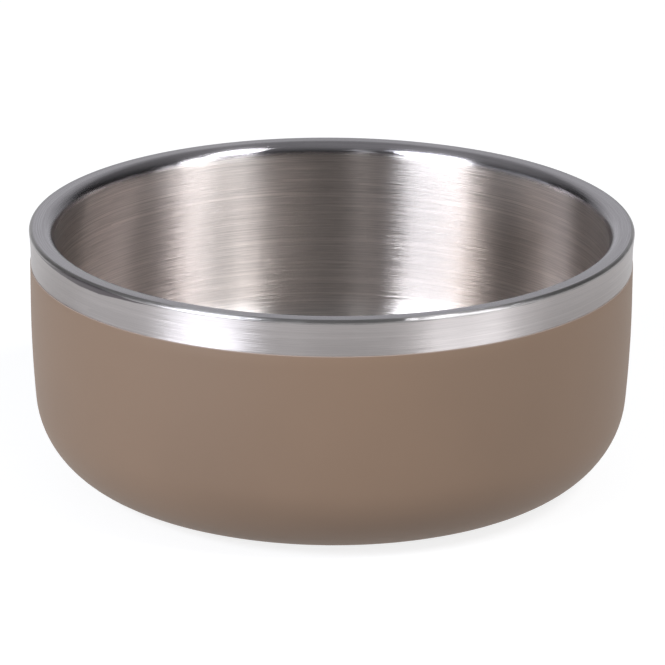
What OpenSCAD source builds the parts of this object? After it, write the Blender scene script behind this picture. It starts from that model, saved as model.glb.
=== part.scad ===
// Double-wall steel pet bowl with a powder-coated shell and a rubber foot ring.
// The origin is the middle of the foot's underside, with +Z up.

/* [Lip] */
// Outside diameter of the lip
rim_d = 204; // [170:1:240]
// Height of the lip above the floor
rim_h = 87.4; // [75:0.1:110]
// Width of the lip, from the outside edge to the wall inside the bowl
lip_w = 8.6; // [7:0.1:14]
// Radius of the lip where it turns down into the bowl
lip_r = 4.2; // [1.5:0.1:5]
// Radius of the ground weld on the lip's outside edge
weld_r = 1.2; // [1:0.1:1.8]
// Number of narrow lands that the grinding leaves round the weld
weld_lands = 6; // [3:1:10]

/* [Inner bowl] */
// Thickness of the inner bowl's steel sheet
liner_t = 0.7; // [0.5:0.1:0.9]
// Radius between the wall and the floor inside the bowl
bowl_corner_r = 22; // [12:1:30]
// Air gap between the base and the inner bowl's floor
floor_gap = 6; // [3:0.5:12]

/* [Outer shell] */
// Thickness of the outer shell's steel sheet
shell_t = 0.7; // [0.5:0.1:0.9]
// How far the band flares out to the lip
flare_out = 0.5; // [0.2:0.1:1.5]
// Height of the flare
flare_h = 8; // [5:0.5:10]
// Radius of the wall's barrel curve, seen from the side
barrel_r = 433.5; // [250:0.5:900]
// Depth below the lip at which the wall stands upright
upright_depth = 24.5; // [15:0.5:30]
// Radius between the wall and the base
corner_r = 29.3; // [20:0.1:36]

/* [Base] */
// Diameter of the pressed seat that takes the foot ring
seat_d = 134; // [110:1:135]
// Depth of the seat
seat_depth = 1.6; // [1.5:0.1:2.4]
// Diameter of the pressed panel inside the seat
panel_d = 98; // [60:1:100]
// Height of the panel above the seat
panel_rise = 2; // [1.5:0.1:4]
// Outside radius of the pressed edges
press_edge_r = 1; // [0.9:0.1:1.1]
// Inside radius of the pressed corners
press_corner_r = 0.4; // [0.3:0.1:0.4]
// Diameter of the vent hole
vent_d = 5; // [3:0.5:8]

/* [Powder coat] */
// Thickness of the coat
coat_t = 0.2; // [0.1:0.05:0.25]
// Depth of the coat's border below the lip
border_depth = 12.1; // [5:0.1:20]

/* [Foot ring] */
// How far the ring stands proud of the base
ring_proud = 1.2; // [0.8:0.1:2.5]
// Width of the ring
ring_w = 14; // [8:0.5:15]
// Clearance between the ring and the coated wall of its seat
ring_clearance = 0.4; // [0.2:0.1:1]
// Radius of the ring's lower edges
ring_edge_r = 0.6; // [0.2:0.1:0.8]
// Number of grip grooves
groove_count = 3; // [1:1:4]
// Width of a grip groove
groove_w = 1.2; // [0.5:0.1:1.5]
// Depth of a grip groove
groove_depth = 0.6; // [0.2:0.1:1]
// Depth of the channel on top of the ring that holds the adhesive
glue_depth = 0.6; // [0.3:0.1:0.8]
// Width of the land on each side of the channel
glue_land = 2.5; // [1.5:0.5:3.5]

/* [Vent plug] */
// Diameter of the plug's head
plug_head_d = 10; // [9:0.5:16]
// Thickness of the plug's head
plug_head_t = 1; // [0.6:0.1:1.5]
// How far the plug's barb stands out past the hole
plug_barb = 0.6; // [0.3:0.1:1]
// Length of the plug's barb
plug_barb_l = 1.5; // [1:0.1:2.5]

/* [Hidden] */
$fn = 160;

// How far one arc reaches past the next where they run together
blend = 0.004;

rim_r = rim_d / 2;
band_r = rim_r - flare_out;
bowl_r = rim_r - lip_w;
seat_r = seat_d / 2;
panel_r = panel_d / 2;
vent_r = vent_d / 2;

// Heights, from the floor up
base_z = ring_proud;
seat_z = base_z + seat_depth;
panel_z = seat_z + panel_rise;
floor_z = panel_z + shell_t + floor_gap + liner_t;
border_z = rim_h - border_depth;
upright_z = rim_h - upright_depth;
lip_z = rim_h - lip_r;
edge_z = rim_h - weld_r;
flare_z = edge_z - flare_h;

// The flare is an arc that leaves the band upright and reaches the lip's full width
flare_r = (flare_h * flare_h + flare_out * flare_out) / (2 * flare_out);

// The walls of the shell and the bowl bulge about one centre, so the gap between them is even
barrel_x = band_r - barrel_r;
bowl_barrel_r = bowl_r - barrel_x;

// The ring's top meets the underside of the coat in the seat, and the adhesive fills the ring's channel
ring_z = seat_z - coat_t;
ring_r = seat_r - coat_t - ring_clearance;
glue_r = ring_r - glue_land;
glue_w = ring_w - 2 * glue_land;
coated_panel_z = panel_z - coat_t;

// Centre of a corner arc that runs from a barrel wall into a flat floor
function corner_x(wall_r, r, z) =
    barrel_x + sqrt(pow(wall_r - r, 2) - pow(upright_z - z - r, 2));

// Height at which a barrel wall hands over to its corner arc
function corner_top(wall_r, r, z) =
    upright_z - wall_r * (upright_z - z - r) / (wall_r - r);

// Half outline of a barrel wall that rounds into a flat floor at height z, grown by the given amount
module barrel(wall_r, r, z, top, grow) {
    x = corner_x(wall_r, r, z);
    hand_over = corner_top(wall_r, r, z);
    intersection() {
        translate([barrel_x, upright_z])
            circle(r = wall_r + grow);
        translate([0, hand_over])
            square([rim_r, upright_z - hand_over]);
    }
    translate([0, upright_z])
        square([barrel_x + wall_r + grow, top - upright_z]);
    translate([x, z + r])
        circle(r = r + blend + grow);
    translate([0, z - grow])
        square([x, hand_over - z + grow]);
}

// Half outline of the hollow under a pressed step between two flat levels, grown by the given amount
module pressed_hollow(r, low, high, grow) {
    edge = [r + press_edge_r, low + press_edge_r];
    corner = [r - press_corner_r, high - press_corner_r];
    square([corner.x, high + grow]);
    square([r + grow, corner.y]);
    translate(corner)
        circle(r = press_corner_r + grow);
    difference() {
        square(edge);
        translate(edge)
            circle(r = press_edge_r - grow);
    }
}

// Half outline of the outer shell, filled to the axis and drawn in by the given amount
module shell_outline(inset) {
    difference() {
        union() {
            barrel(barrel_r, corner_r, base_z, (flare_z + edge_z) / 2, -inset);
            difference() {
                translate([0, flare_z])
                    square([rim_r + weld_r, rim_h - flare_z]);
                translate([band_r + flare_r, flare_z])
                    circle(r = flare_r + blend + inset);
            }
        }
        pressed_hollow(seat_r, base_z, seat_z, inset);
        pressed_hollow(panel_r, seat_z, panel_z, inset);
    }
}

// Half section between two outlines of the shell, from the vent hole out and up to the given height
module shell_layer(outer, inner, top) {
    intersection() {
        difference() {
            shell_outline(outer);
            shell_outline(inner);
        }
        translate([vent_r, 0])
            square([rim_r, top]);
    }
}

module inner_bowl() {
    lip = [bowl_r + lip_r, lip_z];
    color("#b3afad")
        rotate_extrude() {
            difference() {
                barrel(bowl_barrel_r, bowl_corner_r, floor_z, lip_z, liner_t);
                barrel(bowl_barrel_r, bowl_corner_r, floor_z, rim_h, 0);
            }
            intersection() {
                translate(lip)
                    difference() {
                        circle(r = lip_r);
                        circle(r = lip_r - liner_t);
                    }
                translate([bowl_r, lip_z])
                    square(lip_r);
            }
            translate([lip.x, rim_h - liner_t])
                square([rim_r - weld_r - lip.x, liner_t]);
        }
}

module outer_shell() {
    color("#a09b9a")
        rotate_extrude()
            shell_layer(0, shell_t, edge_z);
}

module rim_weld() {
    color("#5c5757")
        rotate_extrude()
            translate([rim_r - weld_r, edge_z])
                polygon([
                    [0, 0],
                    for (i = [0 : weld_lands])
                        weld_r * [cos(90 * i / weld_lands), sin(90 * i / weld_lands)]
                ]);
}

module powder_coat() {
    color("#8c7768")
        rotate_extrude()
            shell_layer(-coat_t, 0, border_z);
}

// Half section of the foot ring before its grooves and channel
module ring_section() {
    translate([ring_r - ring_w, ring_edge_r])
        square([ring_w, ring_z - ring_edge_r]);
    translate([ring_r - ring_w + ring_edge_r, 0])
        square([ring_w - 2 * ring_edge_r, ring_z]);
    for (x = [ring_r - ring_w + ring_edge_r, ring_r - ring_edge_r])
        translate([x, ring_edge_r])
            circle(r = ring_edge_r);
}

module foot_ring() {
    pitch = ring_w / (groove_count + 1);
    color("#2b2a2a")
        rotate_extrude()
            difference() {
                ring_section();
                for (i = [1 : groove_count])
                    translate([ring_r - i * pitch - groove_w / 2, -groove_depth])
                        square([groove_w, 2 * groove_depth]);
                translate([glue_r - glue_w, ring_z - glue_depth])
                    square([glue_w, 2 * glue_depth]);
            }
}

module ring_adhesive() {
    color("#d8cfae")
        rotate_extrude()
            translate([glue_r - glue_w, ring_z - glue_depth])
                square([glue_w, glue_depth]);
}

module vent_plug() {
    color("#3a3838") {
        translate([0, 0, coated_panel_z - plug_head_t])
            cylinder(d = plug_head_d, h = plug_head_t);
        translate([0, 0, coated_panel_z - plug_head_t])
            cylinder(r = vent_r, h = plug_head_t + coat_t + shell_t);
        translate([0, 0, panel_z + shell_t])
            cylinder(r1 = vent_r + plug_barb, r2 = vent_r, h = plug_barb_l);
    }
}

inner_bowl();
outer_shell();
rim_weld();
powder_coat();
foot_ring();
ring_adhesive();
vent_plug();
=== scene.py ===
"""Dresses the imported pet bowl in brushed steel, powder coat and rubber, in a plain studio."""

import math
from collections import namedtuple

import bpy
from bpy.props import FloatProperty, FloatVectorProperty, IntProperty, PointerProperty
from mathutils import Matrix, Vector


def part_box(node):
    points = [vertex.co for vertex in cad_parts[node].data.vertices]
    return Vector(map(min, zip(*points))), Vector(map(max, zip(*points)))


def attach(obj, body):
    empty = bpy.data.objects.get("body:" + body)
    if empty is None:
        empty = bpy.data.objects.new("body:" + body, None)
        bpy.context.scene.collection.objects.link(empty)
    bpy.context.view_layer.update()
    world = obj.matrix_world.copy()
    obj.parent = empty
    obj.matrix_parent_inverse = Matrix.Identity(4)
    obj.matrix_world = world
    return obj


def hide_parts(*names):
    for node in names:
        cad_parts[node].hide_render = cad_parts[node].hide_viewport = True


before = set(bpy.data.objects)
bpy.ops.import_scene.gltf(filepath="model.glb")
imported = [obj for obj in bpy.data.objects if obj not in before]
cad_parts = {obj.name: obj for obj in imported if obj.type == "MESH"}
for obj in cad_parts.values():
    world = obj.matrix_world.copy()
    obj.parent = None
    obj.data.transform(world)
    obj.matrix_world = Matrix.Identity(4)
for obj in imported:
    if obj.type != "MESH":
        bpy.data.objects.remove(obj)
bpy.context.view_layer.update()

bl_info = {
    "name": "Double-wall pet bowl",
    "version": (1, 0, 0),
    "blender": (4, 5, 0),
    "location": "View3D > Sidebar > Pet Bowl",
    "description": "Models and finishes a double-wall steel pet bowl and sets up its studio",
    "category": "Object",
}

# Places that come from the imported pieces
WELD_LOW, WELD_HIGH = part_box("rim_weld")
LINER_LOW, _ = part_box("inner_bowl")
COAT_LOW, COAT_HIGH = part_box("powder_coat")
_, RING_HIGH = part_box("foot_ring")
PLUG_LOW, PLUG_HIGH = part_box("vent_plug")

BODY = "root"
QUARTER = math.pi / 2
MERGE_DISTANCE = 2e-6
SMOOTH_ANGLE = math.radians(32)
SHARP_ANGLE = math.radians(50)
NODE_SPACING = 190
LEFT = -1
RIGHT = 1

# Sets of brush lines: lines in a metre, breaks round the axis and a shift that keeps the sets apart
FINE_LINES = {"Lines": 45000.0, "Breaks": 4.0}
MIDDLE_LINES = {"Lines": 2900.0, "Breaks": 9.0, "Shift": 1.9}
COARSE_LINES = {"Lines": 1300.0, "Breaks": 7.0, "Shift": 7.3}
STRAY_LINES = {"Lines": 2600.0, "Breaks": 8.0, "Shift": 3.7}
SCRATCH_LINES = {"Lines": 520.0, "Breaks": 2.2, "Shift": 5.1}

# How strongly the sets turn the light or tint the steel
FINE_TURN = 0.7
COARSE_TURN = 0.2
STRAY_TURN = 0.06
LINE_TINT = 0.31
SCRATCH_TINT = 0.4

# The share of the scratch set above which a scratch shows
SCRATCH_FROM = 0.97

# Each set changes over between two noises that lie far apart, in stretches a few lines wide
CHANGE_OVER = (0.44, 0.56)
NOISE_GAP = 71.3
STRETCH = 0.6
LINE_RANGE = (0.36, 0.64)

# Borders between two finishes, in metres: how far they wander and half the width over which they blur
POLISH_WANDER = 0.0005
POLISH_BLUR = 0.0007
# The band's and the weld's borders edge a painted dark reflection
BAND_WANDER = 0.0006
WELD_WANDER = 0.0004
DARK_REFLECTION_BLUR = 0.00015

# Where the widening of the painted dark reflection at the left starts and ends, as the outward
# direction's X
DARK_REFLECTION_START = (-0.97, -0.81)
DARK_REFLECTION_END = (-0.74, -0.58)

# The range in which a noise texture mostly lies, and the ranges over which the finishes vary with it
NOISE_RANGE = (0.3, 0.7)
COAT_TONE = (0.97, 1.03)
COAT_UNEVEN = (-0.05, 0.05)
RUBBER_TONE = (0.85, 1.2)
RUBBER_ROUGHNESS = (0.62, 0.8)
ADHESIVE_TONE = (0.85, 1.05)
ADHESIVE_ROUGHNESS = (0.4, 0.6)

# Depths below the coat's border, in metres, at which its thin edge starts to be pale and is fully pale
PALE_START = 0.0004
PALE_FULL = 0.0001

# The coat's grain as a share of its peel, and how strongly the rubber's grain shows
COAT_GRAIN = 0.25
RUBBER_BUMP = 0.6

# Nearest and farthest distance that the camera sees, in metres
CLIP = (0.05, 50)

# Directions between which the room brightens upwards and backwards, as their Z and Y
ROOM_TOP = (0.3, 1.0)
ROOM_BACK = (0.62, 0.97)

# Each lamp's name in the settings, its side of the camera and the tint of its light
LAMPS = (
    ("left_lamp", LEFT, "cool_tint"),
    ("left_fill", LEFT, "cool_tint"),
    ("left_wing", LEFT, "pale_tint"),
    ("left_side", LEFT, "cool_tint"),
    ("right_lamp", RIGHT, "pale_tint"),
    ("right_fill", RIGHT, "pale_tint"),
    ("right_low", RIGHT, "pale_tint"),
    ("faint_strip", LEFT, "pale_tint"),
)

# The finish of a steel surface, and the border between two finishes
Finish = namedtuple("Finish", "colour roughness tilt grain")
Border = namedtuple("Border", "height wander blur sag")


def length(name, description, default):
    """A length in metres that a user can change."""
    return FloatProperty(name=name, description=description, default=default, unit="LENGTH", precision=5)


def colour(name, description, default):
    """A linear colour that a user can change."""
    return FloatVectorProperty(name=name, description=description, default=default, subtype="COLOR",
                               size=3, min=0, max=1)


def angle(name, description, degrees):
    """An angle that a user can change."""
    turn = math.radians(degrees)
    return FloatProperty(name=name, description=description, default=turn, unit="ROTATION")


def factor(name, description, default):
    """A share or a strength that a user can change."""
    return FloatProperty(name=name, description=description, default=default)


def panel(lamp, near, far, low, top):
    """Angles of a lamp's edges: round from the camera to its two sides, and up to its foot and top."""
    edges = [math.radians(edge) for edge in (near, far, low, top)]
    return FloatVectorProperty(name=lamp, description="Edges of the " + lamp.lower(), default=edges,
                               size=4, unit="ROTATION")


def light(lamp, default):
    """A lamp's brightness that a user can change."""
    return factor(lamp + " light", "Brightness of the " + lamp.lower(), default)


class BowlSizes(bpy.types.PropertyGroup):
    """Sizes of the bowl's pieces."""

    rim_radius: length("Rim radius", "Outside radius of the lip", WELD_HIGH.x)
    rim_height: length("Rim height", "Height of the lip", WELD_HIGH.z)
    weld_width: length("Weld width", "Width of the weld, across and down", WELD_HIGH.z - WELD_LOW.z)
    lip_width: length("Lip width", "From the outside of the lip to the wall inside the bowl", 0.0086)
    lip_round: length("Lip round", "Radius of the lip where it turns into the bowl", 0.0042)
    lip_blend: length("Lip blend", "Radius of the slow curve from the wall into the lip's round", 0.012)
    lip_lead: angle("Lip lead", "Turn of the slow curve into the lip's round", 12)
    liner_sheet: length("Liner sheet", "Thickness of the inner bowl's steel", 0.0007)
    liner_low: length("Liner underside", "Height of the underside of the inner bowl", LINER_LOW.z)
    liner_corner: length("Liner corner", "Radius between the wall and the floor inside", 0.022)
    shell_sheet: length("Shell sheet", "Thickness of the outer shell's steel", 0.0007)
    flare_out: length("Flare", "How far the band flares out to the lip", 0.0005)
    flare_height: length("Flare height", "Height of the flare", 0.008)
    barrel_radius: length("Barrel radius", "Radius of the outer wall's barrel curve", 0.4335)
    upright_depth: length("Upright depth", "Depth below the lip where the walls stand upright", 0.0245)
    shell_corner: length("Shell corner", "Radius between the outer wall and the base", 0.0293)
    seat_radius: length("Seat radius", "Radius of the pressed seat of the foot ring", 0.067)
    panel_radius: length("Panel radius", "Radius of the pressed panel in the base", 0.049)
    press_edge: length("Pressed edge", "Radius of the pressed edges", 0.001)
    press_corner: length("Pressed corner", "Radius of the pressed corners", 0.0004)
    coat_film: length("Coat film", "Thickness of the powder coat", 0.0002)
    coat_border: length("Coat border", "Height of the coat's upper border", COAT_HIGH.z)
    coat_low: length("Coat underside", "Height of the coat under the base", COAT_LOW.z)
    coat_edge: length("Coat edge", "Radius of the coat's upper edge", 0.00012)
    ring_radius: length("Ring radius", "Outside radius of the foot ring", RING_HIGH.x)
    ring_top: length("Ring top", "Height of the foot ring", RING_HIGH.z)
    ring_width: length("Ring width", "Width of the foot ring", 0.014)
    ring_edge: length("Ring edge", "Radius of the foot ring's lower edges", 0.0006)
    groove_count: IntProperty(name="Grooves", description="Number of grip grooves", default=3, min=1)
    groove_width: length("Groove width", "Width of a grip groove", 0.0012)
    groove_depth: length("Groove depth", "Depth of a grip groove", 0.0006)
    glue_depth: length("Channel depth", "Depth of the adhesive's channel", 0.0006)
    glue_land: length("Channel land", "Width of the land beside the adhesive's channel", 0.0025)
    moulded_edge: length("Moulded edge", "Radius of the small moulded rubber edges", 0.00015)
    plug_low: length("Plug underside", "Height of the plug's head above the floor", PLUG_LOW.z)
    plug_high: length("Plug top", "Height of the plug's tip", PLUG_HIGH.z)
    plug_radius: length("Plug radius", "Radius of the plug's head", PLUG_HIGH.x)
    plug_head: length("Plug head", "Thickness of the plug's head", 0.001)
    plug_barb: length("Plug barb", "How far the plug's barb stands out past the hole", 0.0006)
    plug_edge: length("Plug edge", "Radius of the plug's edges", 0.0003)
    vent_radius: length("Vent radius", "Radius of the vent hole", 0.0025)
    turn_steps: IntProperty(name="Turn steps", description="Faces round the larger turned pieces",
                            default=256, min=32)

    def wall_radius(self):
        """Radius of the outer wall where it stands upright."""
        return self.rim_radius - self.flare_out

    def bowl_radius(self):
        """Radius of the wall inside the bowl where it stands upright."""
        return self.rim_radius - self.lip_width

    def upright_height(self):
        """Height at which the walls stand upright."""
        return self.rim_height - self.upright_depth

    def barrel_axis(self):
        """Distance of the barrel curves' common centre from the bowl's axis."""
        return self.wall_radius() - self.barrel_radius

    def lean(self, wall, corner, floor):
        """Lean of a barrel wall where it meets a corner, and the corner's distance from the axis."""
        reach = wall - corner
        tilt = math.asin((self.upright_height() - floor - corner) / reach)
        return tilt, self.barrel_axis() + reach * math.cos(tilt)

    def base_height(self):
        """Height of the shell's underside."""
        return self.coat_low + self.coat_film

    def seat_height(self):
        """Height of the shell in the ring's seat."""
        return self.ring_top + self.coat_film

    def panel_height(self):
        """Height of the shell in the middle of the base."""
        return self.plug_low + self.plug_head + self.coat_film


class BowlFinishes(bpy.types.PropertyGroup):
    """Colours and finishes of the bowl's pieces."""

    steel: colour("Steel", "Colour of the brushed steel inside the bowl", (0.65, 0.6, 0.57))
    # The lip, band and weld colours are darker copies of the wall's steel, which paint their dimmer
    # reflections
    lip_shaded_steel: colour("Lip steel", "Colour of the polished lip", (0.54, 0.51, 0.527))
    band_steel: colour("Band steel", "Colour of the brushed band", (0.5, 0.465, 0.458))
    weld_steel: colour("Weld steel", "Colour of the polished weld", (0.42, 0.4, 0.395))
    # Painted dark reflection where the weld meets the band, not a colour of the steel
    painted_dark_reflection: colour("Burnish", "Colour of the steel where the weld was ground", (0.132, 0.118, 0.124))
    coat: colour("Coat", "Colour of the powder coat", (0.24, 0.1555, 0.1025))
    coat_edge: colour("Coat edge", "Colour of the coat's thin upper edge", (0.36, 0.28, 0.235))
    rubber: colour("Rubber", "Colour of the foot ring and the plug", (0.028, 0.027, 0.027))
    adhesive: colour("Adhesive", "Colour of the cured adhesive", (0.68, 0.62, 0.42))
    wall_roughness: factor("Wall roughness", "Roughness of the wall inside the bowl", 0.285)
    wall_grain: factor("Wall grain", "How strongly single brush lines show inside the bowl", 1.0)
    wall_tilt: factor("Wall brush", "How far the brush lines turn the light inside the bowl", 0.48)
    lip_roughness: factor("Lip roughness", "Roughness of the lip", 0.17)
    lip_grain: factor("Lip grain", "How strongly single brush lines show on the lip and outside", 0.45)
    lip_tilt: factor("Lip brush", "How far the brush lines turn the light on the lip", 0.25)
    band_roughness: factor("Band roughness", "Roughness of the band", 0.39)
    band_tilt: factor("Band brush", "How far the brush lines turn the light on the band", 0.5)
    weld_roughness: factor("Weld roughness", "Roughness of the polished weld", 0.32)
    weld_tilt: factor("Weld brush", "How far the brush lines turn the light on the weld", 0.1)
    coat_roughness: factor("Coat roughness", "Roughness of the coat", 0.55)
    coat_peel: length("Coat peel", "Depth of the coat's orange peel", 0.00002)
    rubber_grain: length("Rubber grain", "Depth of the rubber's grain", 0.00004)
    polish_start: length("Polish start", "Height of the lip's polish above the foot of its curve", 0.0023)
    # Reach of the painted dark reflection on the band and the weld, wider at the left
    dark_reflection_depth: length("Ground depth", "How far below the weld its grinding darkens the band", 0.0001)
    dark_reflection_sag: length("Ground sag", "How much further down the grinding reaches at the left", 0.0013)
    dark_reflection_rise: length("Weld rise", "How far up the weld is dark at the left", 0.0009)

    def wall(self):
        """Finish of the wall inside the bowl."""
        return Finish(self.steel, self.wall_roughness, self.wall_tilt, self.wall_grain)

    def lip(self):
        """Finish of the polished lip, in a darker copy of the steel that paints its dimmer reflections.
        """
        return Finish(self.lip_shaded_steel, self.lip_roughness, self.lip_tilt, self.lip_grain)

    def band(self):
        """Finish of the band, in a darker copy of the steel that paints its dimmer reflections."""
        return Finish(self.band_steel, self.band_roughness, self.band_tilt, self.lip_grain)

    def weld(self):
        """Finish of the polished weld, in a darker copy of the steel that paints its dimmer reflections.
        """
        return Finish(self.weld_steel, self.weld_roughness, self.weld_tilt, self.lip_grain)

    def painted_as_dark_reflection(self):
        """Finish of the steel painted with a dark reflection along the weld."""
        return Finish(self.painted_dark_reflection, self.weld_roughness, self.weld_tilt, self.lip_grain)


class StudioSettings(bpy.types.PropertyGroup):
    """Camera, lamps and floor."""

    distance: length("Camera distance", "From the camera to the middle of the lip", 1.632)
    elevation: angle("Camera elevation", "Height of the camera above the lip, as an angle", 17.66)
    focal_pixels: factor("Focal length", "Focal length in pixels of the picture", 4840.6)
    roll: factor("Camera roll", "Turn of the camera about its view, in radians", 0.0064)
    picture: IntProperty(name="Picture", description="Width of the picture in pixels", default=665)
    lip_column: factor("Lip column", "Pixel column of the middle of the lip", 331.1)
    lip_row: factor("Lip row", "Pixel row of the middle of the lip", 223.45)
    sensor: factor("Sensor", "Width of the camera's sensor in millimetres", 36.0)
    lamp_distance: length("Lamp distance", "From the bowl to each lamp", 1.3)
    left_lamp: panel("Left lamp", 31, 60, 24, 40)
    left_lamp_light: light("Left lamp", 15.2)
    left_fill: panel("Low left lamp", 34, 62, 3, 18)
    left_fill_light: light("Low left lamp", 6.2)
    left_wing: panel("Left lamp's faint side", 60, 67, 24, 40)
    left_wing_light: light("Left lamp's faint side", 3)
    left_side: panel("Faint panel beside the bowl", 60, 104, 3, 14)
    left_side_light: light("Faint panel beside the bowl", 0.9)
    right_lamp: panel("Right lamp", 40, 62, 40, 58)
    right_lamp_light: light("Right lamp", 16.5)
    right_fill: panel("Second right lamp", 54, 69, 15, 36)
    right_fill_light: light("Second right lamp", 6.6)
    right_low: panel("Low right lamp", 35, 80, 3, 14)
    right_low_light: light("Low right lamp", 2.1)
    faint_strip: panel("Faint strip beside the camera", 9, 17, 8, 38)
    faint_strip_light: light("Faint strip beside the camera", 0.6)
    cool_tint: colour("Cool tint", "Colour of the cool lamps on the left", (0.86, 0.91, 1.0))
    pale_tint: colour("Pale tint", "Colour of the other lamps", (0.94, 0.965, 1.0))
    floor_size: length("Floor size", "Width of the floor", 12)
    floor_grey: factor("Floor grey", "How much light the floor scatters", 0.35)
    floor_glow: factor("Floor glow", "Light added to the floor as it is seen", 0.8)
    room_dark: factor("Room dark", "Brightness of the room beside the bowl and behind the camera", 0.02)
    room_top: factor("Room top", "Brightness of the room above the bowl", 0.3)
    room_back: factor("Room back", "Brightness of the room behind the bowl", 0.57)
    room_tint: colour("Room tint", "Colour of the light from the room", (0.94, 0.96, 1.0))
    room_lean: factor("Room lean", "How much darker the room is to the right", 0.35)


class Pen:
    """Draws a half section in the XZ plane with one vertex, extruded along lines and spun round arcs."""

    def __init__(self, name, x, z):
        bpy.ops.object.select_all(action="DESELECT")
        bpy.ops.mesh.primitive_plane_add(size=MERGE_DISTANCE, location=(0, 0, 0))
        self.piece = bpy.context.object
        self.piece.name = name
        self.piece.data.name = name
        bpy.ops.object.mode_set(mode="EDIT")
        bpy.ops.mesh.merge(type="CENTER")
        bpy.ops.transform.translate(value=(x, 0, z))
        self.at = Vector((x, 0, z))

    def line_to(self, x, z, steps=1):
        """Extrudes the vertex to a point, in even steps."""
        goal = Vector((x, 0, z))
        for _ in range(steps):
            bpy.ops.mesh.extrude_region_move(TRANSFORM_OT_translate={"value": (goal - self.at) / steps})
        self.at = goal

    def arc(self, x, z, turn, steps):
        """Spins the vertex about a centre, anticlockwise as seen from the front."""
        centre = Vector((x, 0, z))
        bpy.ops.mesh.spin(steps=steps, angle=turn, center=centre, axis=(0, 1, 0))
        self.at = centre + Matrix.Rotation(-turn, 3, "Y") @ (self.at - centre)

    def turn(self, steps):
        """Turns the outline about the bowl's axis and returns the piece."""
        bpy.ops.mesh.select_all(action="SELECT")
        bpy.ops.mesh.remove_doubles(threshold=MERGE_DISTANCE)
        bpy.ops.mesh.spin(steps=steps, angle=math.tau, center=(0, 0, 0), axis=(0, 0, 1))
        bpy.ops.mesh.select_all(action="SELECT")
        bpy.ops.mesh.remove_doubles(threshold=MERGE_DISTANCE)
        bpy.ops.mesh.normals_make_consistent(inside=False)
        bpy.ops.object.mode_set(mode="OBJECT")
        return self.piece


def face_outward(piece, upward):
    """Flips an open sheet whose topmost face doesn't point up, or else away from the axis."""
    top = max(piece.data.polygons, key=lambda face: face.center.z)
    away = Vector((0, 0, 1)) if upward else Vector((top.center.x, top.center.y, 0))
    if top.normal.dot(away) < 0:
        bpy.ops.object.mode_set(mode="EDIT")
        bpy.ops.mesh.select_all(action="SELECT")
        bpy.ops.mesh.flip_normals()
        bpy.ops.object.mode_set(mode="OBJECT")


def apply_modifier(piece, kind, **settings):
    """Adds a modifier and applies it."""
    modifier = piece.modifiers.new(kind.title(), kind)
    for name, value in settings.items():
        setattr(modifier, name, value)
    bpy.ops.object.modifier_apply(modifier=modifier.name)


def thicken(piece, sheet):
    """Gives a sheet its thickness on the side that it doesn't face."""
    apply_modifier(piece, "SOLIDIFY", thickness=sheet, offset=-1, use_even_offset=True,
                   use_quality_normals=True)


def soften(piece, radius, segments):
    """Rounds the sharp edges of a piece."""
    apply_modifier(piece, "BEVEL", width=radius, segments=segments, limit_method="ANGLE",
                   angle_limit=SHARP_ANGLE, use_clamp_overlap=True)


def round_edges(piece, radius, segments, chosen):
    """Bevels the edges whose both ends pass the test."""
    points = piece.data.vertices
    for part in (points, piece.data.edges, piece.data.polygons):
        for item in part:
            item.select = False
    for edge in piece.data.edges:
        edge.select = all(chosen(points[i].co) for i in edge.vertices)
    bpy.ops.object.mode_set(mode="EDIT")
    bpy.ops.mesh.select_mode(type="EDGE")
    bpy.ops.mesh.bevel(offset=radius, segments=segments, affect="EDGES")
    bpy.ops.mesh.select_mode(type="VERT")
    bpy.ops.object.mode_set(mode="OBJECT")


def finish_piece(piece, material, node):
    """Smooths a piece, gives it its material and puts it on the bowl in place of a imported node."""
    piece.data.materials.clear()
    piece.data.materials.append(material)
    bpy.ops.object.select_all(action="DESELECT")
    piece.select_set(True)
    bpy.context.view_layer.objects.active = piece
    bpy.ops.object.shade_smooth_by_angle(angle=SMOOTH_ANGLE)
    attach(piece, BODY)
    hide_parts(node)


def draw_outside(pen, s, outset):
    """Draws the outside of the shell, or of a film on it, from the upright wall to the vent hole."""
    wall = s.barrel_radius
    base = s.base_height()
    tilt, corner_x = s.lean(wall, s.shell_corner, base)
    pen.line_to(s.wall_radius() + outset, s.upright_height(), steps=3)
    pen.arc(s.barrel_axis(), s.upright_height(), -tilt, steps=10)
    pen.arc(corner_x, base + s.shell_corner, tilt - QUARTER, steps=20)
    seat = (s.seat_radius, base, s.seat_height())
    panel_step = (s.panel_radius, s.seat_height(), s.panel_height())
    for radius, low, high in (seat, panel_step):
        pen.line_to(radius + s.press_edge, low - outset, steps=2)
        pen.arc(radius + s.press_edge, low + s.press_edge, -QUARTER, steps=5)
        pen.line_to(radius - outset, high - s.press_corner)
        pen.arc(radius - s.press_corner, high - s.press_corner, QUARTER, steps=4)
    pen.line_to(s.vent_radius, s.panel_height() - outset, steps=6)


def add_node(tree, kind, column, row, **settings):
    """Adds a shader node in a column and a row of the editor, and sets its attributes."""
    made = tree.nodes.new(kind)
    made.location = (column * NODE_SPACING, -row * NODE_SPACING)
    for name, value in settings.items():
        setattr(made, name, value)
    return made


def feed(tree, target, source):
    """Links a socket to an input, or sets the input's value."""
    if isinstance(source, bpy.types.NodeSocket):
        tree.links.new(source, target)
    else:
        target.default_value = source


def maths(tree, operation, first, second, column, row, clamp=False):
    """Adds a maths node and returns its output."""
    made = add_node(tree, "ShaderNodeMath", column, row, operation=operation, use_clamp=clamp)
    feed(tree, made.inputs[0], first)
    feed(tree, made.inputs[1], second)
    return made.outputs[0]


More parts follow.
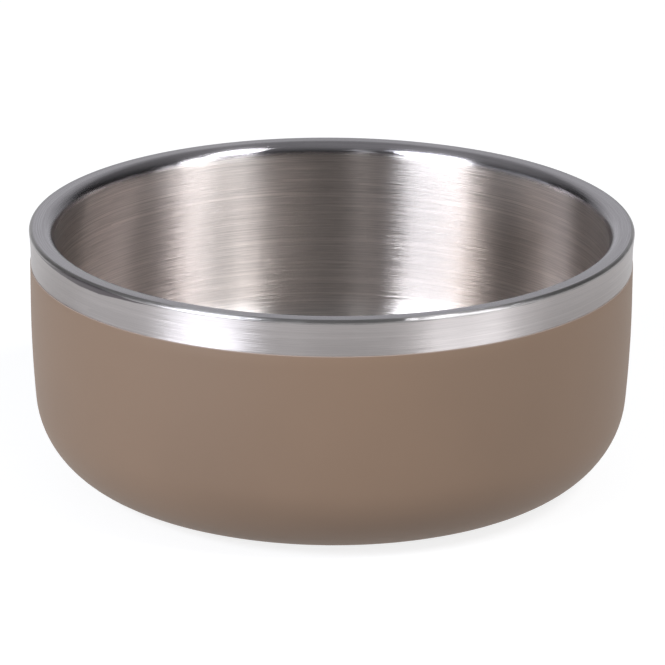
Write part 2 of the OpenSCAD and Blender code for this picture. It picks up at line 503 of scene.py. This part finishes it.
def spread(tree, value, low, high, to_low, to_high, column, row):
    """Maps a value's range to another, within its ends, and returns the output."""
    made = add_node(tree, "ShaderNodeMapRange", column, row, clamp=True)
    for name, source in (("Value", value), ("From Min", low), ("From Max", high),
                         ("To Min", to_low), ("To Max", to_high)):
        feed(tree, made.inputs[name], source)
    return made.outputs["Result"]


def vary(tree, value, ends, column, row):
    """Maps a noise texture's usual range to another and returns the output."""
    return spread(tree, value, *NOISE_RANGE, *ends, column, row)


def blend(tree, mask, low, high, column, row):
    """A value that goes from low to high with a mask, or stays plain where both are the same."""
    if low == high:
        return low
    return spread(tree, mask, 0.0, 1.0, low, high, column, row)


def centred(tree, share, column, row):
    """Moves a share between 0 and 1 to lie about zero, and returns the output."""
    return maths(tree, "SUBTRACT", share, 0.5, column, row)


def multiply_add(tree, value, times, added, column, row):
    """Multiplies a value, adds another to it and returns the output."""
    made = maths(tree, "MULTIPLY_ADD", value, times, column, row)
    feed(tree, made.node.inputs[2], added)
    return made


def noise(tree, vector, column, row, scale, detail, roughness):
    """Adds a noise texture and returns its value."""
    made = add_node(tree, "ShaderNodeTexNoise", column, row)
    feed(tree, made.inputs["Vector"], vector)
    feed(tree, made.inputs["Scale"], scale)
    feed(tree, made.inputs["Detail"], detail)
    feed(tree, made.inputs["Roughness"], roughness)
    return made.outputs["Fac"]


def straight_noise(tree, place, column, row):
    """Adds a noise texture along one line and returns its value."""
    made = add_node(tree, "ShaderNodeTexNoise", column, row, noise_dimensions="1D")
    feed(tree, made.inputs["W"], place)
    feed(tree, made.inputs["Scale"], 1.0)
    feed(tree, made.inputs["Detail"], 1.0)
    return made.outputs["Fac"]


def mix_colour(tree, share, first, second, column, row, kind="MIX"):
    """Mixes two colours by a share and returns the output."""
    made = add_node(tree, "ShaderNodeMix", column, row, data_type="RGBA", blend_type=kind)
    feed(tree, made.inputs["Factor"], share)
    feed(tree, made.inputs[6], first)
    feed(tree, made.inputs[7], second)
    return made.outputs[2]


def toned(tree, rgb, tone, column, row):
    """Multiplies a colour by a tone and returns the output."""
    return mix_colour(tree, 1.0, rgb, tone, column, row, kind="MULTIPLY")


def vector_maths(tree, operation, column, row, *sources):
    """Adds a vector maths node, feeds its inputs in order and returns it."""
    made = add_node(tree, "ShaderNodeVectorMath", column, row, operation=operation)
    for target, source in zip(made.inputs, sources):
        feed(tree, target, source)
    return made


def split(tree, vector, column, row):
    """Splits a vector and returns its X, Y and Z."""
    made = add_node(tree, "ShaderNodeSeparateXYZ", column, row)
    feed(tree, made.inputs[0], vector)
    return made.outputs


def join(tree, x, y, z, column, row):
    """Joins three values into a vector and returns it."""
    made = add_node(tree, "ShaderNodeCombineXYZ", column, row)
    for target, source in zip(made.inputs, (x, y, z)):
        feed(tree, target, source)
    return made.outputs[0]


def new_group(name, inputs, outputs):
    """Makes a shader node group with named sockets and returns its tree, input node and output node."""
    tree = bpy.data.node_groups.new(name, "ShaderNodeTree")
    for socket, kind, default in inputs:
        made = tree.interface.new_socket(name=socket, in_out="INPUT", socket_type=kind)
        made.default_value = default
    for socket, kind in outputs:
        tree.interface.new_socket(name=socket, in_out="OUTPUT", socket_type=kind)
    return tree, add_node(tree, "NodeGroupInput", -6, 0), add_node(tree, "NodeGroupOutput", 6, 0)


def place_group(tree, group, column, row, **values):
    """Places a node group in a material with its own values."""
    made = add_node(tree, "ShaderNodeGroup", column, row, node_tree=group)
    for name, value in values.items():
        feed(tree, made.inputs[name.replace("_", " ")], value)
    return made


def turned_coordinates():
    """Group: height, run along the section and direction away from the axis."""
    name = "turned_coordinates"
    if name in bpy.data.node_groups:
        return bpy.data.node_groups[name]
    outputs = (("Height", "NodeSocketFloat"), ("Run", "NodeSocketFloat"), ("Around", "NodeSocketVector"))
    tree, _, out = new_group(name, (), outputs)
    place = add_node(tree, "ShaderNodeTexCoord", -4, 0)
    x, y, height = split(tree, place.outputs["Object"], -3, 0)
    flat = join(tree, x, y, 0.0, -2, 1)
    reach = vector_maths(tree, "LENGTH", -1, 0, flat)
    around = vector_maths(tree, "NORMALIZE", -1, 2, flat)
    feed(tree, out.inputs["Height"], height)
    feed(tree, out.inputs["Run"], maths(tree, "ADD", reach.outputs["Value"], height, 0, 1))
    feed(tree, out.inputs["Around"], around.outputs["Vector"])
    return tree


def brush_lines():
    """Group: fine lines that run round the axis, as a belt leaves them."""
    name = "brush_lines"
    if name in bpy.data.node_groups:
        return bpy.data.node_groups[name]
    inputs = (("Lines", "NodeSocketFloat", 2500.0), ("Breaks", "NodeSocketFloat", 3.0),
              ("Shift", "NodeSocketFloat", 0.0))
    tree, into, out = new_group(name, inputs, (("Line", "NodeSocketFloat"),))
    turned = place_group(tree, turned_coordinates(), -5, 1)
    across = maths(tree, "MULTIPLY", turned.outputs["Run"], into.outputs["Lines"], -4, 0)
    across = maths(tree, "ADD", across, into.outputs["Shift"], -3, 0)
    along = add_node(tree, "ShaderNodeVectorMath", -4, 2, operation="SCALE")
    feed(tree, along.inputs[0], turned.outputs["Around"])
    feed(tree, along.inputs["Scale"], into.outputs["Breaks"])
    x, y, _ = split(tree, along.outputs["Vector"], -3, 2)
    where = join(tree, maths(tree, "MULTIPLY", across, STRETCH, -2, 1), x, y, -2, 2)
    patches = noise(tree, where, -1, 2, scale=1.0, detail=1.0, roughness=0.5)
    share = spread(tree, patches, *CHANGE_OVER, 0.0, 1.0, 0, 2)
    first = straight_noise(tree, across, 0, 0)
    second = straight_noise(tree, maths(tree, "ADD", across, NOISE_GAP, -1, 1), 0, 1)
    line = add_node(tree, "ShaderNodeMix", 2, 1, data_type="FLOAT")
    feed(tree, line.inputs[0], share)
    feed(tree, line.inputs[2], first)
    feed(tree, line.inputs[3], second)
    feed(tree, out.inputs["Line"], spread(tree, line.outputs[0], *LINE_RANGE, 0.0, 1.0, 4, 1))
    return tree


def brushed_normal():
    """Group: normal turned across and along the brush lines."""
    name = "brushed_normal"
    if name in bpy.data.node_groups:
        return bpy.data.node_groups[name]
    inputs = (("Across", "NodeSocketFloat", 0.0), ("Along", "NodeSocketFloat", 0.0))
    tree, into, out = new_group(name, inputs, (("Normal", "NodeSocketVector"),))
    turned = place_group(tree, turned_coordinates(), -5, 2)
    normal = add_node(tree, "ShaderNodeNewGeometry", -3, 0).outputs["Normal"]
    round_axis = vector_maths(tree, "CROSS_PRODUCT", -4, 2, (0.0, 0.0, 1.0), turned.outputs["Around"])
    along = add_node(tree, "ShaderNodeVectorTransform", -3, 2, vector_type="VECTOR",
                     convert_from="OBJECT", convert_to="WORLD")
    feed(tree, along.inputs[0], round_axis.outputs[0])
    across = vector_maths(tree, "CROSS_PRODUCT", -2, 1, normal, along.outputs[0])
    total = normal
    for column, side, socket in ((0, across, "Across"), (2, along, "Along")):
        amount = into.outputs[socket]
        scale = join(tree, amount, amount, amount, column - 1, 2)
        total = vector_maths(tree, "MULTIPLY_ADD", column, 1, side.outputs[0], scale, total).outputs[0]
    unit = vector_maths(tree, "NORMALIZE", 4, 1, total)
    feed(tree, out.inputs["Normal"], unit.outputs[0])
    return tree


def new_material(name):
    """Makes an empty material and returns it with its tree and its Principled shader."""
    material = bpy.data.materials.new(name)
    material.use_nodes = True
    tree = material.node_tree
    tree.nodes.clear()
    shader = add_node(tree, "ShaderNodeBsdfPrincipled", 5, 0)
    out = add_node(tree, "ShaderNodeOutputMaterial", 7, 0)
    feed(tree, out.inputs["Surface"], shader.outputs["BSDF"])
    return material, tree, shader


def bump(tree, height, strength, depth, column, row):
    """Adds a bump node and returns its normal."""
    made = add_node(tree, "ShaderNodeBump", column, row)
    feed(tree, made.inputs["Height"], height)
    feed(tree, made.inputs["Strength"], strength)
    feed(tree, made.inputs["Distance"], depth)
    return made.outputs["Normal"]


def opaque(rgb):
    """A colour with full alpha."""
    return (*rgb, 1.0)


def zone(tree, value, border, column, row):
    """Adds a mask that is 1 above a border, which wanders and sags at the left, and returns it."""
    turned = place_group(tree, turned_coordinates(), column - 3, row)
    drift = noise(tree, turned.outputs["Around"], column - 2, row, scale=9.0, detail=4.0, roughness=0.6)
    x = split(tree, turned.outputs["Around"], column - 2, row + 1)["X"]
    # The sag at the left widens the painted dark reflection on the band and the weld
    near = spread(tree, x, *DARK_REFLECTION_END, border.sag, 0.0, column - 2, row + 2)
    far = spread(tree, x, *DARK_REFLECTION_START, 0.0, 1.0, column - 2, row + 3)
    dip = maths(tree, "MULTIPLY", near, far, column - 1, row + 2)
    level = maths(tree, "SUBTRACT", border.height - border.wander / 2, dip, column - 1, row + 3)
    place = multiply_add(tree, drift, border.wander, level, column - 1, row)
    over = maths(tree, "SUBTRACT", value, place, column - 1, row + 1)
    return spread(tree, over, -border.blur, border.blur, 0.0, 1.0, column, row)


def line_set(tree, lines, column, row):
    """Places a set of brush lines and returns its output."""
    return place_group(tree, brush_lines(), column, row, **lines).outputs["Line"]


def brushed_steel(name, below, above, border):
    """Material: steel brushed round the axis, with one finish below a border and another above it."""
    material, tree, shader = new_material(name)
    turned = place_group(tree, turned_coordinates(), -6, 0)
    mask = zone(tree, turned.outputs["Height"], border, -2, 0)
    fine = line_set(tree, FINE_LINES, -4, 2)
    middle = line_set(tree, MIDDLE_LINES, -4, 3)
    coarse = line_set(tree, COARSE_LINES, -4, 4)
    stray = line_set(tree, STRAY_LINES, -4, 5)
    scratch = line_set(tree, SCRATCH_LINES, -4, 6)
    shown = blend(tree, mask, below.grain, above.grain, -3, 5)
    both = maths(tree, "MULTIPLY", maths(tree, "ADD", coarse, middle, -3, 2), 0.5, -3, 3)
    both = maths(tree, "MULTIPLY", centred(tree, both, -2, 2), shown, -2, 3)
    deep = spread(tree, scratch, SCRATCH_FROM, 1.0, 0.0, SCRATCH_TINT, -3, 6)
    deep = maths(tree, "MULTIPLY", deep, shown, -2, 6)
    lines = multiply_add(tree, centred(tree, fine, -2, 4), FINE_TURN,
                         maths(tree, "MULTIPLY", both, COARSE_TURN, -1, 4), -1, 3)
    tone = multiply_add(tree, maths(tree, "ADD", both, deep, -1, 5), LINE_TINT, 1.0, 0, 2)
    plain = mix_colour(tree, mask, opaque(below.colour), opaque(above.colour), 0, 1)
    feed(tree, shader.inputs["Base Color"], toned(tree, plain, tone, 2, 1))
    amount = blend(tree, mask, below.tilt, above.tilt, 0, 3)
    across = maths(tree, "MULTIPLY", lines, amount, 1, 3)
    along = maths(tree, "MULTIPLY", centred(tree, stray, -1, 6), STRAY_TURN, 1, 4)
    turned_normal = place_group(tree, brushed_normal(), 3, 3, Across=across, Along=along)
    feed(tree, shader.inputs["Normal"], turned_normal.outputs["Normal"])
    feed(tree, shader.inputs["Roughness"], blend(tree, mask, below.roughness, above.roughness, 3, 2))
    shader.inputs["Metallic"].default_value = 1.0
    shader.inputs["Anisotropic"].default_value = 1.0
    shader.inputs["Anisotropic Rotation"].default_value = 0.25
    return material


def powder_coat(finishes, sizes):
    """Material: matt powder coat with a soft orange peel, paler at its thin upper edge."""
    material, tree, shader = new_material("powder_coat")
    place = add_node(tree, "ShaderNodeTexCoord", -2, 1).outputs["Object"]
    peel = noise(tree, place, -1, 2, scale=900.0, detail=2.0, roughness=0.5)
    grain = noise(tree, place, -1, 3, scale=5200.0, detail=2.0, roughness=0.6)
    cloud = noise(tree, place, -1, 1, scale=22.0, detail=2.0, roughness=0.5)
    plain = toned(tree, opaque(finishes.coat), vary(tree, cloud, COAT_TONE, 1, 1), 2, 1)
    turned = place_group(tree, turned_coordinates(), 0, 0)
    border = sizes.coat_border
    edge = spread(tree, turned.outputs["Height"], border - PALE_START, border - PALE_FULL, 0.0, 1.0, 2, 0)
    edge_colour = opaque(finishes.coat_edge)
    feed(tree, shader.inputs["Base Color"], mix_colour(tree, edge, plain, edge_colour, 3, 0))
    ends = [finishes.coat_roughness + change for change in COAT_UNEVEN]
    feed(tree, shader.inputs["Roughness"], vary(tree, grain, ends, 2, 3))
    height = multiply_add(tree, grain, COAT_GRAIN, peel, 2, 4)
    feed(tree, shader.inputs["Normal"], bump(tree, height, 1.0, finishes.coat_peel, 3, 4))
    return material


def moulded_rubber(name, finishes):
    """Material: matt moulded rubber with a fine grain."""
    material, tree, shader = new_material(name)
    place = add_node(tree, "ShaderNodeTexCoord", -2, 1).outputs["Object"]
    grain = noise(tree, place, -1, 1, scale=2600.0, detail=3.0, roughness=0.6)
    cloud = noise(tree, place, -1, 2, scale=60.0, detail=2.0, roughness=0.5)
    tone = vary(tree, cloud, RUBBER_TONE, 1, 1)
    feed(tree, shader.inputs["Base Color"], toned(tree, opaque(finishes.rubber), tone, 3, 1))
    feed(tree, shader.inputs["Roughness"], vary(tree, grain, RUBBER_ROUGHNESS, 3, 2))
    feed(tree, shader.inputs["Normal"], bump(tree, grain, RUBBER_BUMP, finishes.rubber_grain, 3, 3))
    return material


def cured_adhesive(finishes):
    """Material: cured adhesive, slightly mottled."""
    material, tree, shader = new_material("cured_adhesive")
    place = add_node(tree, "ShaderNodeTexCoord", -2, 1).outputs["Object"]
    mottle = noise(tree, place, -1, 1, scale=400.0, detail=3.0, roughness=0.6)
    tone = vary(tree, mottle, ADHESIVE_TONE, 1, 1)
    feed(tree, shader.inputs["Base Color"], toned(tree, opaque(finishes.adhesive), tone, 3, 1))
    feed(tree, shader.inputs["Roughness"], vary(tree, mottle, ADHESIVE_ROUGHNESS, 3, 2))
    return material


class PETBOWL_OT_liner(bpy.types.Operator):
    """Models the drawn steel liner with its rounded lip and flat flange"""

    bl_idname = "petbowl.liner"
    bl_label = "Bowl liner"

    def execute(self, context):
        s = context.scene.pet_bowl_sizes
        f = context.scene.pet_bowl_finishes
        floor = s.liner_low + s.liner_sheet
        wall = s.bowl_radius() - s.barrel_axis()
        tilt, corner_x = s.lean(wall, s.liner_corner, floor)
        lead = s.lip_blend - s.lip_round
        start = s.rim_height - s.lip_round - lead * math.sin(s.lip_lead)
        pen = Pen("bowl_liner", 0, floor)
        pen.line_to(corner_x, floor, steps=12)
        pen.arc(corner_x, floor + s.liner_corner, QUARTER - tilt, steps=20)
        pen.arc(s.barrel_axis(), s.upright_height(), tilt, steps=10)
        pen.line_to(s.bowl_radius(), start, steps=4)
        pen.arc(s.bowl_radius() + s.lip_blend, start, -s.lip_lead, steps=5)
        pen.arc(s.bowl_radius() + s.lip_blend - lead * math.cos(s.lip_lead), s.rim_height - s.lip_round,
                s.lip_lead - QUARTER, steps=12)
        pen.line_to(s.rim_radius - s.weld_width, s.rim_height, steps=4)
        liner = pen.turn(s.turn_steps)
        face_outward(liner, True)
        thicken(liner, s.liner_sheet)
        border = Border(start + f.polish_start, POLISH_WANDER, POLISH_BLUR, 0.0)
        # The lip's steel is a darker copy of the wall's, which paints its dimmer reflections
        steel = brushed_steel("liner_steel", f.wall(), f.lip(), border)
        finish_piece(liner, steel, "inner_bowl")
        return {"FINISHED"}


class PETBOWL_OT_shell(bpy.types.Operator):
    """Models the drawn steel shell with its flared band and pressed base"""

    bl_idname = "petbowl.shell"
    bl_label = "Outer shell"

    def execute(self, context):
        s = context.scene.pet_bowl_sizes
        f = context.scene.pet_bowl_finishes
        edge = s.rim_height - s.weld_width
        flare_radius = (s.flare_height ** 2 + s.flare_out ** 2) / (2 * s.flare_out)
        pen = Pen("outer_shell_steel", s.rim_radius, edge)
        pen.arc(s.wall_radius() + flare_radius, edge - s.flare_height,
                math.asin(s.flare_height / flare_radius), steps=8)
        draw_outside(pen, s, 0)
        shell = pen.turn(s.turn_steps)
        face_outward(shell, False)
        thicken(shell, s.shell_sheet)
        # The band is painted with a dark reflection above this border, just under the weld and lower at
        # the left
        border = Border(edge - f.dark_reflection_depth, BAND_WANDER, DARK_REFLECTION_BLUR, f.dark_reflection_sag)
        steel = brushed_steel("band_steel", f.band(), f.painted_as_dark_reflection(), border)
        finish_piece(shell, steel, "outer_shell")
        return {"FINISHED"}


class PETBOWL_OT_weld(bpy.types.Operator):
    """Models the weld that joins the liner to the shell, rounded off by grinding, with a painted dark
    reflection at its foot that rises up it at the left
    """

    bl_idname = "petbowl.weld"
    bl_label = "Rim weld"

    def execute(self, context):
        s = context.scene.pet_bowl_sizes
        f = context.scene.pet_bowl_finishes
        inner = s.rim_radius - s.weld_width
        edge = s.rim_height - s.weld_width
        pen = Pen("weld_bead", inner, edge)
        pen.line_to(s.rim_radius, edge)
        pen.arc(inner, edge, QUARTER, steps=12)
        pen.line_to(inner, edge)
        weld = pen.turn(2 * s.turn_steps)
        # Below this border the weld is painted with a dark reflection, higher at the left
        border = Border(edge - WELD_WANDER / 2, WELD_WANDER, DARK_REFLECTION_BLUR, -f.dark_reflection_rise)
        steel = brushed_steel("polished_weld", f.painted_as_dark_reflection(), f.weld(), border)
        finish_piece(weld, steel, "rim_weld")
        return {"FINISHED"}


class PETBOWL_OT_coat(bpy.types.Operator):
    """Models the powder coat from its masked border down and across the base"""

    bl_idname = "petbowl.coat"
    bl_label = "Powder coat"

    def execute(self, context):
        s = context.scene.pet_bowl_sizes
        outside = s.wall_radius() + s.coat_film
        pen = Pen("powder_coat_film", outside, s.coat_border)
        draw_outside(pen, s, s.coat_film)
        coat = pen.turn(s.turn_steps)
        face_outward(coat, False)
        thicken(coat, s.coat_film)
        top = s.coat_border - MERGE_DISTANCE
        brink = outside - s.coat_film / 2
        round_edges(coat, s.coat_edge, segments=3,
                    chosen=lambda p: p.z > top and math.hypot(p.x, p.y) > brink)
        finish_piece(coat, powder_coat(context.scene.pet_bowl_finishes, s), "powder_coat")
        return {"FINISHED"}


class PETBOWL_OT_foot_ring(bpy.types.Operator):
    """Models the moulded foot ring with its grip grooves and adhesive channel"""

    bl_idname = "petbowl.foot_ring"
    bl_label = "Foot ring"

    def execute(self, context):
        s = context.scene.pet_bowl_sizes
        outer = s.ring_radius
        inner = outer - s.ring_width
        pitch = s.ring_width / (s.groove_count + 1)
        pen = Pen("rubber_foot_ring", inner + s.ring_edge, 0)
        for i in range(s.groove_count, 0, -1):
            near = outer - i * pitch - s.groove_width / 2
            far = near + s.groove_width
            pen.line_to(near, 0)
            pen.line_to(near, s.groove_depth)
            pen.line_to(far, s.groove_depth)
            pen.line_to(far, 0)
        pen.line_to(outer - s.ring_edge, 0)
        pen.arc(outer - s.ring_edge, s.ring_edge, QUARTER, steps=5)
        pen.line_to(outer, s.ring_top)
        pen.line_to(outer - s.glue_land, s.ring_top)
        pen.line_to(outer - s.glue_land, s.ring_top - s.glue_depth)
        pen.line_to(inner + s.glue_land, s.ring_top - s.glue_depth)
        pen.line_to(inner + s.glue_land, s.ring_top)
        pen.line_to(inner, s.ring_top)
        pen.line_to(inner, s.ring_edge)
        pen.arc(inner + s.ring_edge, s.ring_edge, QUARTER, steps=5)
        ring = pen.turn(s.turn_steps)
        soften(ring, s.moulded_edge, segments=2)
        rubber = moulded_rubber("foot_rubber", context.scene.pet_bowl_finishes)
        finish_piece(ring, rubber, "foot_ring")
        return {"FINISHED"}


class PETBOWL_OT_adhesive(bpy.types.Operator):
    """Finishes the adhesive bead between the foot ring and its seat"""

    bl_idname = "petbowl.adhesive"
    bl_label = "Ring adhesive"

    def execute(self, context):
        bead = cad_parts["ring_adhesive"]
        bead.data.materials.clear()
        bead.data.materials.append(cured_adhesive(context.scene.pet_bowl_finishes))
        return {"FINISHED"}


class PETBOWL_OT_vent_plug(bpy.types.Operator):
    """Models the plug that seals the vent hole in the base"""

    bl_idname = "petbowl.vent_plug"
    bl_label = "Vent plug"

    def execute(self, context):
        s = context.scene.pet_bowl_sizes
        collar = s.plug_low + s.plug_head
        shoulder = s.panel_height() + s.shell_sheet
        pen = Pen("rubber_vent_plug", 0, s.plug_low)
        pen.line_to(s.plug_radius, s.plug_low, steps=3)
        pen.line_to(s.plug_radius, collar)
        pen.line_to(s.vent_radius, collar)
        pen.line_to(s.vent_radius, shoulder)
        pen.line_to(s.vent_radius + s.plug_barb, shoulder)
        pen.line_to(s.vent_radius, s.plug_high)
        pen.line_to(0, s.plug_high)
        plug = pen.turn(s.turn_steps // 4)
        soften(plug, s.plug_edge, segments=3)
        rubber = moulded_rubber("plug_rubber", context.scene.pet_bowl_finishes)
        finish_piece(plug, rubber, "vent_plug")
        return {"FINISHED"}


def studio_floor(studio):
    """Pale floor that scatters a little light, and is white where it is seen or mirrored."""
    bpy.ops.object.select_all(action="DESELECT")
    bpy.ops.mesh.primitive_plane_add(size=studio.floor_size, location=(0, 0, 0))
    floor = bpy.context.object
    floor.name = "studio_floor"
    material = bpy.data.materials.new("studio_floor")
    material.use_nodes = True
    material.cycles.emission_sampling = "NONE"
    tree = material.node_tree
    tree.nodes.clear()
    grey = add_node(tree, "ShaderNodeBsdfDiffuse", 2, 0)
    grey.inputs["Color"].default_value = opaque((studio.floor_grey,) * 3)
    path = add_node(tree, "ShaderNodeLightPath", 0, 1)
    seen = maths(tree, "ADD", path.outputs["Is Camera Ray"], path.outputs["Is Glossy Ray"], 1, 1)
    seen = maths(tree, "ADD", seen, path.outputs["Is Transmission Ray"], 1, 2, clamp=True)
    glow = add_node(tree, "ShaderNodeEmission", 2, 1)
    feed(tree, glow.inputs["Strength"], maths(tree, "MULTIPLY", seen, studio.floor_glow, 2, 2))
    both = add_node(tree, "ShaderNodeAddShader", 3, 0)
    feed(tree, both.inputs[0], grey.outputs[0])
    feed(tree, both.inputs[1], glow.outputs[0])
    out = add_node(tree, "ShaderNodeOutputMaterial", 4, 0)
    feed(tree, out.inputs["Surface"], both.outputs[0])
    floor.data.materials.append(material)


def studio_lamp(studio, name, side, tint):
    """Soft panel to the left or the right of the camera that faces the bowl's axis."""
    near, far, low, top = getattr(studio, name)
    radiance = getattr(studio, name + "_light")
    turn = side * (near + far) / 2
    foot = studio.lamp_distance * math.tan(low)
    tall = studio.lamp_distance * math.tan(top) - foot
    width = 2 * studio.lamp_distance * math.tan((far - near) / 2)
    place = Vector((math.sin(turn), -math.cos(turn), 0)) * studio.lamp_distance
    bpy.ops.object.light_add(type="AREA", location=(place.x, place.y, foot + tall / 2))
    lamp = bpy.context.object
    lamp.name = name
    lamp.rotation_euler = (-place).to_track_quat("-Z", "Y").to_euler()
    lamp.data.shape = "RECTANGLE"
    lamp.data.size = width
    lamp.data.size_y = tall
    lamp.data.energy = radiance * math.pi * width * tall
    lamp.data.color = getattr(studio, tint)
    lamp.visible_camera = False


def studio_world(studio):
    """Plain grey room, pale behind the bowl, dark behind the camera and a little darker to the right."""
    world = bpy.data.worlds.new("studio")
    bpy.context.scene.world = world
    world.use_nodes = True
    tree = world.node_tree
    tree.nodes.clear()
    place = add_node(tree, "ShaderNodeTexCoord", 0, 0)
    x, y, z = split(tree, place.outputs["Generated"], 1, 0)
    top = spread(tree, z, *ROOM_TOP, studio.room_dark, studio.room_top, 2, 0)
    back = spread(tree, y, *ROOM_BACK, 0.0, studio.room_back - studio.room_dark, 2, 1)
    lean = multiply_add(tree, x, -studio.room_lean, 1.0, 2, 2)
    level = maths(tree, "MULTIPLY", maths(tree, "ADD", top, back, 3, 0), lean, 4, 0)
    background = add_node(tree, "ShaderNodeBackground", 5, 0)
    feed(tree, background.inputs["Color"], opaque(studio.room_tint))
    feed(tree, background.inputs["Strength"], level)
    out = add_node(tree, "ShaderNodeOutputWorld", 6, 0)
    feed(tree, out.inputs["Surface"], background.outputs[0])


def studio_camera(studio, sizes):
    """Camera at the photograph's place, looking down into the bowl."""
    aim = Vector((0, 0, sizes.rim_height))
    away = Vector((0, -math.cos(studio.elevation), math.sin(studio.elevation)))
    middle = studio.picture / 2
    pitch = studio.elevation + math.atan((middle - studio.lip_row) / studio.focal_pixels)
    yaw = math.atan((middle - studio.lip_column) / studio.focal_pixels)
    forward = Vector((math.sin(yaw) * math.cos(pitch), math.cos(yaw) * math.cos(pitch),
                      -math.sin(pitch)))
    level = forward.cross(Vector((0, 0, 1))).normalized()
    upright = level.cross(forward)
    right = level * math.cos(studio.roll) + upright * math.sin(studio.roll)
    up = upright * math.cos(studio.roll) - level * math.sin(studio.roll)
    bpy.ops.object.camera_add(location=aim + away * studio.distance)
    camera = bpy.context.object
    camera.name = "studio_camera"
    turned = Matrix((right, up, -forward)).transposed().to_4x4()
    camera.matrix_world = Matrix.Translation(aim + away * studio.distance) @ turned
    camera.data.sensor_width = studio.sensor
    camera.data.lens = studio.focal_pixels * studio.sensor / studio.picture
    camera.data.clip_start, camera.data.clip_end = CLIP
    bpy.context.scene.camera = camera


class PETBOWL_OT_stage(bpy.types.Operator):
    """Sets up the floor, the lamps, the room and the camera"""

    bl_idname = "petbowl.stage"
    bl_label = "Studio"

    def execute(self, context):
        studio = context.scene.pet_bowl_studio
        context.scene.view_settings.view_transform = "Standard"
        studio_floor(studio)
        for name, side, tint in LAMPS:
            studio_lamp(studio, name, side, tint)
        studio_world(studio)
        studio_camera(studio, context.scene.pet_bowl_sizes)
        return {"FINISHED"}


OPERATORS = (
    PETBOWL_OT_stage,
    PETBOWL_OT_liner,
    PETBOWL_OT_shell,
    PETBOWL_OT_weld,
    PETBOWL_OT_coat,
    PETBOWL_OT_foot_ring,
    PETBOWL_OT_adhesive,
    PETBOWL_OT_vent_plug,
)


class PETBOWL_PT_panel(bpy.types.Panel):
    """Lists the bowl's pieces and settings"""

    bl_label = "Pet Bowl"
    bl_space_type = "VIEW_3D"
    bl_region_type = "UI"
    bl_category = "Pet Bowl"

    def draw(self, context):
        column = self.layout.column()
        for operator in OPERATORS:
            column.operator(operator.bl_idname)
        for name in SETTINGS:
            settings = getattr(context.scene, name)
            for key in settings.bl_rna.properties.keys():
                if key not in ("rna_type", "name"):
                    column.prop(settings, key)


SETTINGS = {
    "pet_bowl_sizes": BowlSizes,
    "pet_bowl_finishes": BowlFinishes,
    "pet_bowl_studio": StudioSettings,
}


def register():
    for group in SETTINGS.values():
        bpy.utils.register_class(group)
    for operator in (*OPERATORS, PETBOWL_PT_panel):
        bpy.utils.register_class(operator)
    for name, group in SETTINGS.items():
        setattr(bpy.types.Scene, name, PointerProperty(type=group))


def unregister():
    for name in SETTINGS:
        delattr(bpy.types.Scene, name)
    for operator in (*OPERATORS, PETBOWL_PT_panel):
        bpy.utils.unregister_class(operator)
    for group in SETTINGS.values():
        bpy.utils.unregister_class(group)


def main():
    register()
    bpy.ops.petbowl.stage()
    bpy.ops.petbowl.liner()
    bpy.ops.petbowl.shell()
    bpy.ops.petbowl.weld()
    bpy.ops.petbowl.coat()
    bpy.ops.petbowl.foot_ring()
    bpy.ops.petbowl.adhesive()
    bpy.ops.petbowl.vent_plug()


if __name__ == "__main__":
    main()
